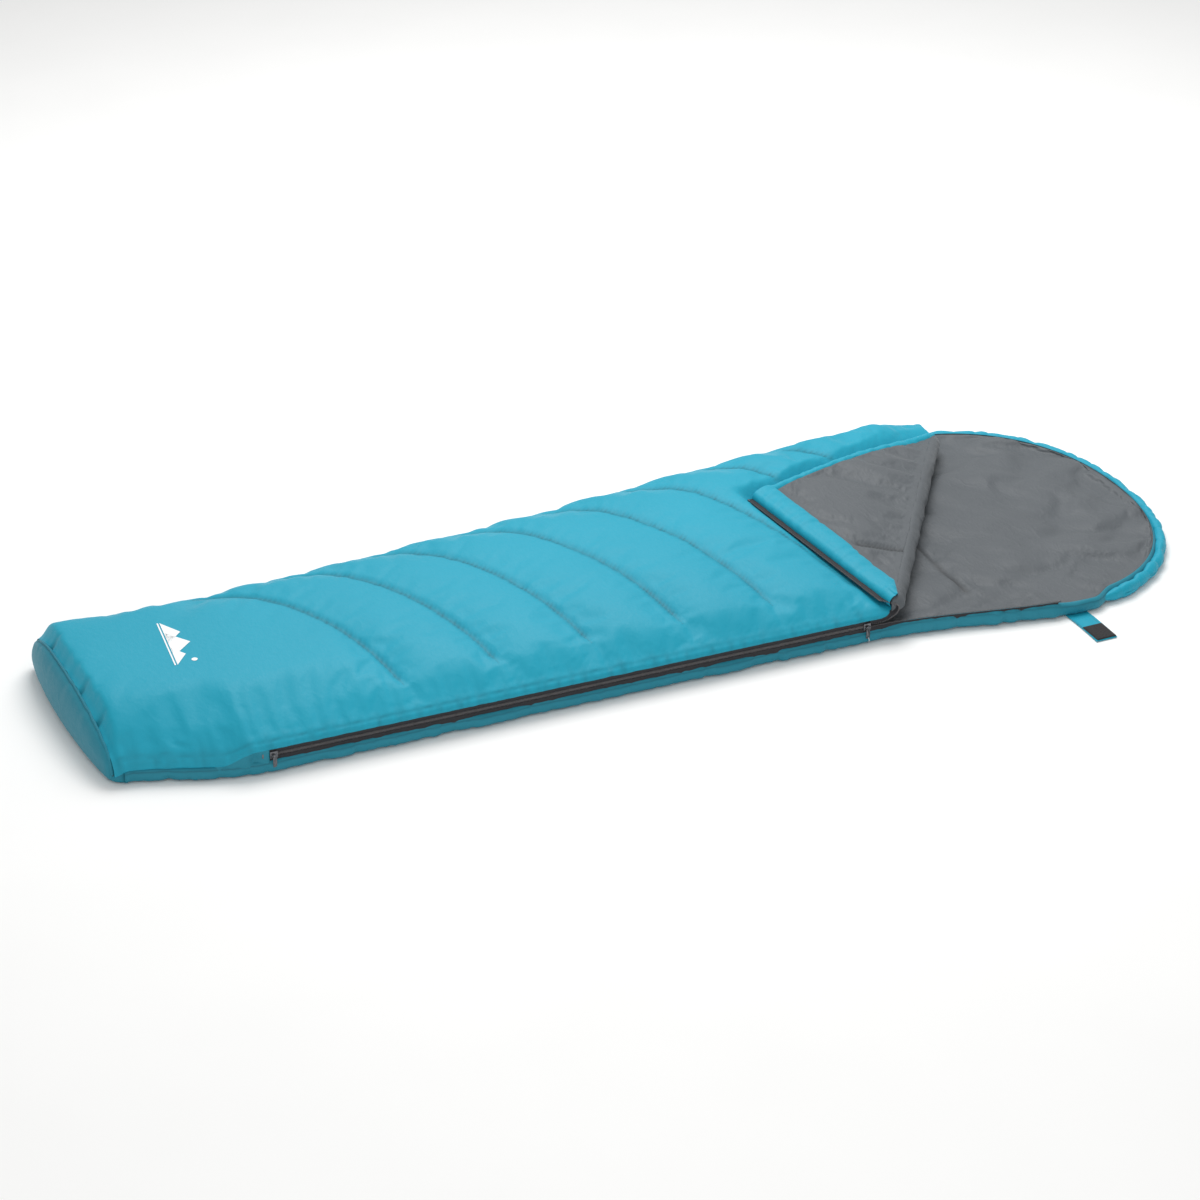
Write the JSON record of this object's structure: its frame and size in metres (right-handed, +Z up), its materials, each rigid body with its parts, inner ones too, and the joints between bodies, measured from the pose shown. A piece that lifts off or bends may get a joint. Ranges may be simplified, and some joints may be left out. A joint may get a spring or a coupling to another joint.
{
  "type": "sleeping bag",
  "caption": "Tapered sleeping bag with a half-round hood, a side zip and one corner of the quilted top turned back over itself.",
  "frame": {"origin": "on the floor, on the bag's long axis, halfway between the foot panel and the tip of the hood", "axes": "+X from the foot to the hood, +Y towards the closed side away from the zip, +Z up"},
  "size_m": [2.17, 0.8771, 0.116],
  "materials": {
    "face_fabric": "light sheen polyester taffeta, bright teal",
    "base_fabric": "dull polyester taffeta, darker teal",
    "lining_fabric": "soft polyester lining, mid grey",
    "wadding": "white hollow-fibre wadding",
    "zip_tape": "woven black tape",
    "zip_coil": "black nylon coil",
    "zip_metal": "nickel-plated zinc",
    "hook_and_loop": "black hook and loop tape",
    "elastic": "white round elastic"
  },
  "bodies": {
    "bag": {"bottom_outer_shell": "base_fabric", "bottom_filling": "wadding", "bottom_lining": "lining_fabric", "top_outer_shell": "face_fabric", "top_filling": "wadding", "top_lining": "lining_fabric", "foot_outer_panel": "base_fabric", "foot_filling": "wadding", "foot_lining": "lining_fabric", "zip_tape_lower": "zip_tape", "zip_tape_upper": "zip_tape", "zip_coil_lower": "zip_coil", "zip_coil_upper": "zip_coil", "zip_foot_stop": "zip_metal", "zip_head_stop": "zip_metal", "draft_tube": "lining_fabric"},
    "flap": {"flap_outer_shell": "face_fabric", "flap_filling": "wadding", "flap_lining": "lining_fabric", "flap_draft_tube": "face_fabric", "flap_head_binding": "face_fabric", "flap_zip_tape": "zip_tape", "flap_zip_coil": "zip_coil", "flap_zip_stop": "zip_metal", "flap_loop_patch": "hook_and_loop"},
    "hood": {"hood_outer_shell": "base_fabric", "hood_filling": "wadding", "hood_lining": "lining_fabric", "hood_casing": "face_fabric", "hood_elastic": "elastic"},
    "upper_slider": {"upper_slider": "zip_metal"},
    "upper_pull_tab": {"upper_pull_tab": "zip_metal"},
    "upper_pull_ring": {"upper_pull_ring": "zip_metal"},
    "lower_slider": {"lower_slider": "zip_metal"},
    "lower_pull_tab": {"lower_pull_tab": "zip_metal"},
    "closure_tab": {"tab_strap": "face_fabric", "tab_hook_patch": "hook_and_loop"}
  },
  "joints": [
    {"name": "flap_fold", "type": "hinge", "parent": "bag", "child": "flap", "pos_m": [0.38, -0.31837, 0.06], "axis": [0.5715, 0.8206, 0], "range_deg": [0, 175]},
    {"name": "hood_fold", "type": "hinge", "parent": "bag", "child": "hood", "pos_m": [0.83, 0, 0.0252], "axis": [0, -1, 0], "range_deg": [0, 60]},
    {"name": "upper_slider_run", "type": "slide", "parent": "bag", "child": "upper_slider", "axis": [-0.9997, 0.0263, 0], "range_m": [0, 0.6]},
    {"name": "upper_pull_swing", "type": "hinge", "parent": "upper_slider", "child": "upper_pull_tab", "pos_m": [0.3298, -0.3235, 0.036], "axis": [-0.9997, 0.0263, 0], "range_deg": [0, 165]},
    {"name": "pull_ring_swing", "type": "hinge", "parent": "upper_pull_tab", "child": "upper_pull_ring", "pos_m": [0.3298, -0.3235, 0.0168], "axis": [-0.0263, -0.9997, 0], "range_deg": [-45, 45]},
    {"name": "lower_slider_run", "type": "slide", "parent": "bag", "child": "lower_slider", "axis": [0.9997, -0.0263, 0], "range_m": [0, 0.5]},
    {"name": "lower_pull_swing", "type": "hinge", "parent": "lower_slider", "child": "lower_pull_tab", "pos_m": [-0.8142, -0.29342, 0.036], "axis": [-0.9997, 0.0263, 0], "range_deg": [0, 165]},
    {"name": "closure_tab_fold", "type": "hinge", "parent": "bag", "child": "closure_tab", "pos_m": [0.738, -0.38503, 0.015], "axis": [-1, 0, 0], "range_deg": [0, 178]}
  ]
}
